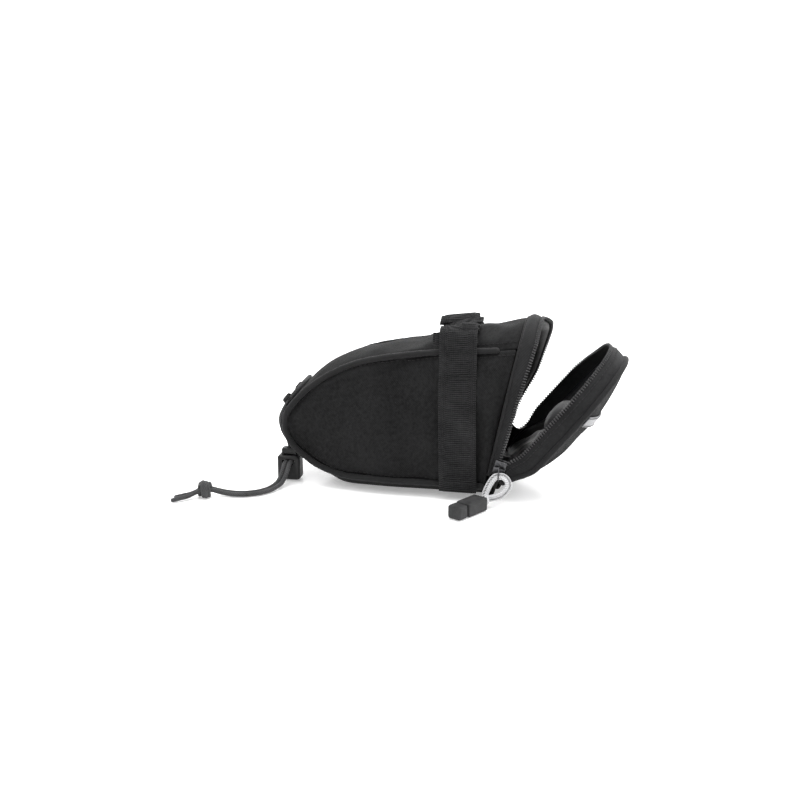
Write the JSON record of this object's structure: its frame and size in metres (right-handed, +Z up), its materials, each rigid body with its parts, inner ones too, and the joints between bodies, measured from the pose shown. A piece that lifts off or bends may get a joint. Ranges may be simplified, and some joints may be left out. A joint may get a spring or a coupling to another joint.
{
  "type": "saddle bag",
  "caption": "Wedge-shaped under-saddle bag with a rear lid that unzips, webbing rail straps, an elastic seatpost cord with a push-button lock and a corded zip pull.",
  "frame": {"origin": "on the floor, in the middle of the flat base, under the bag", "axes": "+X to the rear, where the mouth and lid are; -X to the nose that meets the seatpost; +Z up, towards the saddle rails; -Y is the left side of the bicycle"},
  "size_m": [0.2891, 0.1254, 0.1173],
  "materials": {
    "black_cloth": "tight plain weave, coated nylon, soft matt",
    "black_plastic": "moulded, fine grain",
    "black_webbing": "ribbed woven webbing",
    "dark_steel": "dark plated steel",
    "elastic_cord": "braided elastic",
    "foam": "closed-cell padding",
    "grip_rubber": "soft moulded grip",
    "lining_cloth": "thin smooth lining with a slight sheen",
    "reflective": "light grey reflective weave",
    "stiffener_board": "thin plastic board",
    "zip_tape": "fine twill band",
    "zip_teeth": "moulded coil"
  },
  "bodies": {
    "bag": {"bag_lining": "lining_cloth", "base_board": "stiffener_board", "base_panel": "black_cloth", "body_zip_tape": "zip_tape", "body_zip_teeth": "zip_teeth", "cord_knot": "elastic_cord", "cord_lock_barrel": "black_plastic", "edge_piping_left": "black_cloth", "edge_piping_right": "black_cloth", "elastic_loop": "elastic_cord", "elastic_tail_left": "elastic_cord", "elastic_tail_right": "elastic_cord", "hinge_apron": "black_cloth", "hinge_strip": "black_cloth", "lock_spring": "dark_steel", "mouth_binding": "black_cloth", "nose_tab_left": "black_webbing", "nose_tab_right": "black_webbing", "rail_strap_left": "black_webbing", "rail_strap_right": "black_webbing", "side_foam_left": "foam", "side_foam_right": "foam", "side_panel_left": "black_cloth", "side_panel_right": "black_cloth", "strap_patch_left": "black_webbing", "strap_patch_right": "black_webbing", "tail_end_left": "elastic_cord", "tail_end_right": "elastic_cord", "top_panel": "black_cloth"},
    "lid": {"lid_zip_teeth": "zip_teeth", "lid_band": "zip_tape", "lid_piping": "black_cloth", "lid_panel": "black_cloth", "lid_foam": "foam", "lid_lining": "lining_cloth", "lid_pocket": "lining_cloth", "reflective_strip": "reflective"},
    "slider": {"zip_slider": "dark_steel"},
    "pull": {"pull_tab": "dark_steel", "pull_cord": "reflective", "grip_sleeve": "grip_rubber", "grip_cap": "black_plastic"},
    "lock_button": {"cord_lock_plunger": "black_plastic"}
  },
  "joints": [
    {"name": "lid_hinge", "type": "hinge", "parent": "bag", "child": "lid", "pos_m": [0.056, 0, 0.013], "axis": [0, 1, 0], "range_deg": [-23.5, 36]},
    {"name": "zip_slider_slide", "type": "slide", "parent": "bag", "child": "slider", "axis": [0.2756, 0, 0.9613], "range_m": [0, 0.045]},
    {"name": "pull_swing", "type": "hinge", "parent": "slider", "child": "pull", "pos_m": [0.05903, -0.0438, 0.02357], "axis": [-0.9613, 0, 0.2756], "range_deg": [0, 100]},
    {"name": "cord_lock_press", "type": "slide", "parent": "bag", "child": "lock_button", "axis": [0, 0, -1], "range_m": [0, 0.0035], "stiffness_N_per_m": 800, "springref_m": -0.002, "deforming": ["lock_spring"]}
  ]
}
